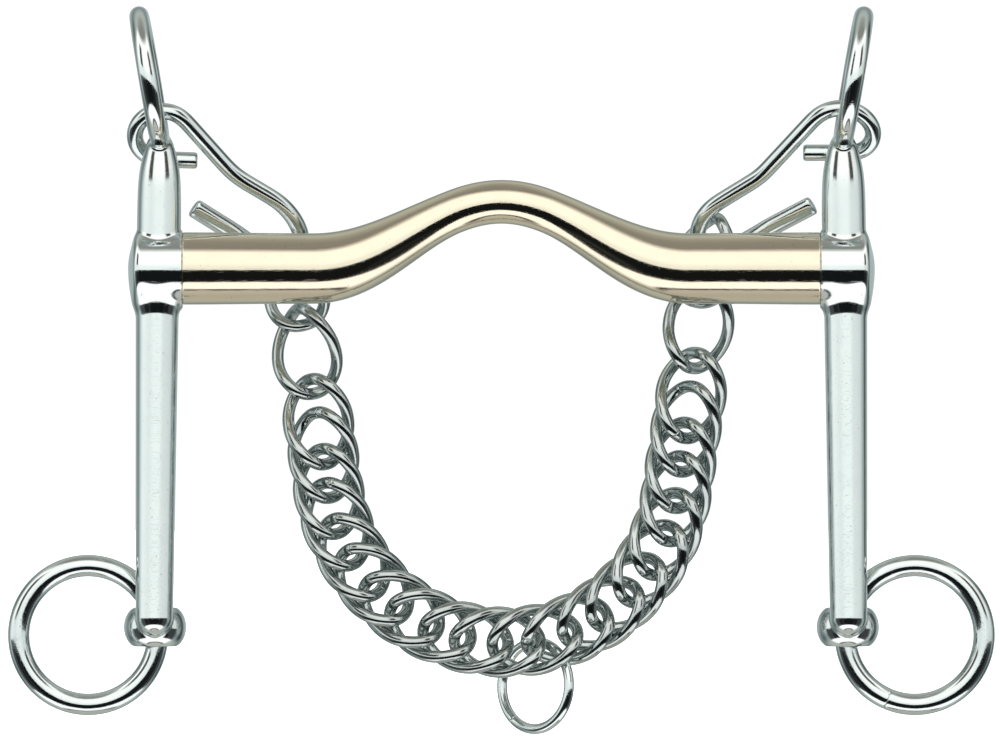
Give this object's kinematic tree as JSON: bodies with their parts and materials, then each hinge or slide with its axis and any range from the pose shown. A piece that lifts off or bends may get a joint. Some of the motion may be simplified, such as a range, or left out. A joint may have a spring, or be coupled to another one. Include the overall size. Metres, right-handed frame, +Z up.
{
  "type": "curb bit",
  "caption": "Curb bit with a ported mouthpiece, straight fixed cheeks, loose rein rings, curb hooks, twisted-link curb chain and lip-strap ring.",
  "frame": {"origin": "on the axis of the mouthpiece bar, midway between the two cheeks", "axes": "+X to the side shown on the right, +Y towards the curb chain and hooks, +Z up towards the eyes"},
  "size_m": [0.2078, 0.0417, 0.1534],
  "materials": {
    "gold_alloy": "polished",
    "steel": "polished",
    "ring_steel": "polished",
    "hook_steel": "polished",
    "chain_steel": "polished"
  },
  "bodies": {
    "bit": {"mouthpiece": "gold_alloy", "left_cheek": "steel", "right_cheek": "steel"},
    "left_rein_ring": {"left_rein_ring": "ring_steel"},
    "right_rein_ring": {"right_rein_ring": "ring_steel"},
    "left_curb_hook": {"left_curb_hook": "hook_steel"},
    "right_curb_hook": {"right_curb_hook": "hook_steel"},
    "link_01": {"chain_link_01": "chain_steel"},
    "link_02": {"chain_link_02": "chain_steel"},
    "link_03": {"chain_link_03": "chain_steel"},
    "link_04": {"chain_link_04": "chain_steel"},
    "link_05": {"chain_link_05": "chain_steel"},
    "link_06": {"chain_link_06": "chain_steel"},
    "link_07": {"chain_link_07": "chain_steel"},
    "link_08": {"chain_link_08": "chain_steel"},
    "link_09": {"chain_link_09": "chain_steel"},
    "link_10": {"chain_link_10": "chain_steel"},
    "link_11": {"chain_link_11": "chain_steel"},
    "link_12": {"chain_link_12": "chain_steel"},
    "link_13": {"chain_link_13": "chain_steel"},
    "link_14": {"chain_link_14": "chain_steel"},
    "link_15": {"chain_link_15": "chain_steel"},
    "link_16": {"chain_link_16": "chain_steel"},
    "link_17": {"chain_link_17": "chain_steel"},
    "link_18": {"chain_link_18": "chain_steel"},
    "link_19": {"chain_link_19": "chain_steel"},
    "link_20": {"chain_link_20": "chain_steel"},
    "link_21": {"chain_link_21": "chain_steel"},
    "link_22": {"chain_link_22": "chain_steel"},
    "link_23": {"chain_link_23": "chain_steel"},
    "link_24": {"chain_link_24": "chain_steel"},
    "lip_strap_ring": {"lip_strap_ring": "ring_steel"}
  },
  "joints": [
    {"name": "left_rein_ring_swing", "type": "hinge", "parent": "bit", "child": "left_rein_ring", "pos_m": [-0.0729, 0.0068, -0.0754], "axis": [0, 0, 1], "range_deg": [-150, 2]},
    {"name": "right_rein_ring_swing", "type": "hinge", "parent": "bit", "child": "right_rein_ring", "pos_m": [0.0729, 0.0068, -0.0754], "axis": [0, 0, 1], "range_deg": [-2, 150]},
    {"name": "left_hook_swing", "type": "hinge", "parent": "bit", "child": "left_curb_hook", "pos_m": [-0.0739, 0, 0.04], "axis": [1, 0, 0], "range_deg": [-1, 46]},
    {"name": "right_hook_swing", "type": "hinge", "parent": "bit", "child": "right_curb_hook", "pos_m": [0.0739, 0, 0.04], "axis": [1, 0, 0], "range_deg": [-1, 46]},
    {"name": "chain_swing", "type": "hinge", "parent": "left_curb_hook", "child": "link_12", "pos_m": [-0.0452, 0.0166, 0.0032], "axis": [0.9987, 0.0383, 0.034], "range_deg": [-4, 48]},
    {"name": "link_01_roll", "type": "hinge", "parent": "link_12", "child": "link_01", "pos_m": [-0.0439, 0.01685, -0.003], "axis": [0.2284, 0, -0.9736], "range_deg": [-1.5, 1.5]},
    {"name": "link_02_roll", "type": "hinge", "parent": "link_12", "child": "link_02", "pos_m": [-0.04123, 0.0159, -0.01734], "axis": [0.1478, 0, -0.989], "range_deg": [-1.5, 1.5]},
    {"name": "link_03_roll", "type": "hinge", "parent": "link_12", "child": "link_03", "pos_m": [-0.03863, 0.015, -0.03222], "axis": [0.1478, 0, -0.989], "range_deg": [-1.5, 1.5]},
    {"name": "link_04_roll", "type": "hinge", "parent": "link_12", "child": "link_04", "pos_m": [-0.03757, 0.015, -0.0393], "axis": [0.1478, 0, -0.989], "range_deg": [-1.5, 1.5]},
    {"name": "link_05_roll", "type": "hinge", "parent": "link_12", "child": "link_05", "pos_m": [-0.03643, 0.015, -0.04696], "axis": [0.1596, 0, -0.9872], "range_deg": [-1.5, 1.5]},
    {"name": "link_06_roll", "type": "hinge", "parent": "link_12", "child": "link_06", "pos_m": [-0.03463, 0.015, -0.05387], "axis": [0.3422, 0, -0.9396], "range_deg": [-1.5, 1.5]},
    {"name": "link_07_roll", "type": "hinge", "parent": "link_12", "child": "link_07", "pos_m": [-0.03125, 0.015, -0.06083], "axis": [0.5263, 0, -0.8503], "range_deg": [-1.5, 1.5]},
    {"name": "link_08_roll", "type": "hinge", "parent": "link_12", "child": "link_08", "pos_m": [-0.02694, 0.015, -0.06652], "axis": [0.6767, 0, -0.7363], "range_deg": [-1.5, 1.5]},
    {"name": "link_09_roll", "type": "hinge", "parent": "link_12", "child": "link_09", "pos_m": [-0.02115, 0.015, -0.07165], "axis": [0.8123, 0, -0.5832], "range_deg": [-1.5, 1.5]},
    {"name": "link_10_roll", "type": "hinge", "parent": "link_12", "child": "link_10", "pos_m": [-0.01496, 0.01497, -0.07526], "axis": [0.9077, 0, -0.4197], "range_deg": [-1.5, 1.5]},
    {"name": "link_11_roll", "type": "hinge", "parent": "link_12", "child": "link_11", "pos_m": [-0.00757, 0.01508, -0.07779], "axis": [0.9746, 0, -0.2241], "range_deg": [-1.5, 1.5]},
    {"name": "link_13_roll", "type": "hinge", "parent": "link_12", "child": "link_13", "pos_m": [0.00709, 0.01482, -0.07822], "axis": [0.9854, 0, 0.17], "range_deg": [-1.5, 1.5]},
    {"name": "link_14_roll", "type": "hinge", "parent": "link_12", "child": "link_14", "pos_m": [0.01391, 0.01527, -0.07635], "axis": [0.9339, 0, 0.3576], "range_deg": [-1.5, 1.5]},
    {"name": "link_15_roll", "type": "hinge", "parent": "link_12", "child": "link_15", "pos_m": [0.02096, 0.01498, -0.07272], "axis": [0.8341, 0, 0.5517], "range_deg": [-1.5, 1.5]},
    {"name": "link_16_roll", "type": "hinge", "parent": "link_12", "child": "link_16", "pos_m": [0.02636, 0.01495, -0.06835], "axis": [0.714, 0, 0.7001], "range_deg": [-1.5, 1.5]},
    {"name": "link_17_roll", "type": "hinge", "parent": "link_12", "child": "link_17", "pos_m": [0.03136, 0.01475, -0.06225], "axis": [0.5462, 0, 0.8376], "range_deg": [-1.5, 1.5]},
    {"name": "link_18_roll", "type": "hinge", "parent": "link_12", "child": "link_18", "pos_m": [0.03463, 0.015, -0.05596], "axis": [0.373, 0, 0.9278], "range_deg": [-1.5, 1.5]},
    {"name": "link_19_roll", "type": "hinge", "parent": "link_12", "child": "link_19", "pos_m": [0.03674, 0.015, -0.04852], "axis": [0.1682, 0, 0.9858], "range_deg": [-1.5, 1.5]},
    {"name": "link_20_roll", "type": "hinge", "parent": "link_12", "child": "link_20", "pos_m": [0.0378, 0.015, -0.04145], "axis": [0.1478, 0, 0.989], "range_deg": [-1.5, 1.5]},
    {"name": "link_21_roll", "type": "hinge", "parent": "link_12", "child": "link_21", "pos_m": [0.03895, 0.015, -0.03378], "axis": [0.1478, 0, 0.989], "range_deg": [-1.5, 1.5]},
    {"name": "link_22_roll", "type": "hinge", "parent": "link_12", "child": "link_22", "pos_m": [0.04, 0.015, -0.02671], "axis": [0.1478, 0, 0.989], "range_deg": [-1.5, 1.5]},
    {"name": "link_23_roll", "type": "hinge", "parent": "link_12", "child": "link_23", "pos_m": [0.0416, 0.0159, -0.01192], "axis": [0.1478, 0, 0.989], "range_deg": [-1.5, 1.5]},
    {"name": "link_24_roll", "type": "hinge", "parent": "link_12", "child": "link_24", "pos_m": [0.04317, 0.0167, 0.00192], "axis": [0.247, 0, 0.969], "range_deg": [-1.5, 1.5]},
    {"name": "lip_strap_ring_swing", "type": "hinge", "parent": "link_14", "child": "lip_strap_ring", "pos_m": [0.0072, 0.01945, -0.088], "axis": [0.642, 0.7651, -0.0488], "range_deg": [-180, 180]}
  ],
  "couplings": [
    {"joint": "right_hook_swing", "follows": "left_hook_swing", "ratio": 1}
  ]
}
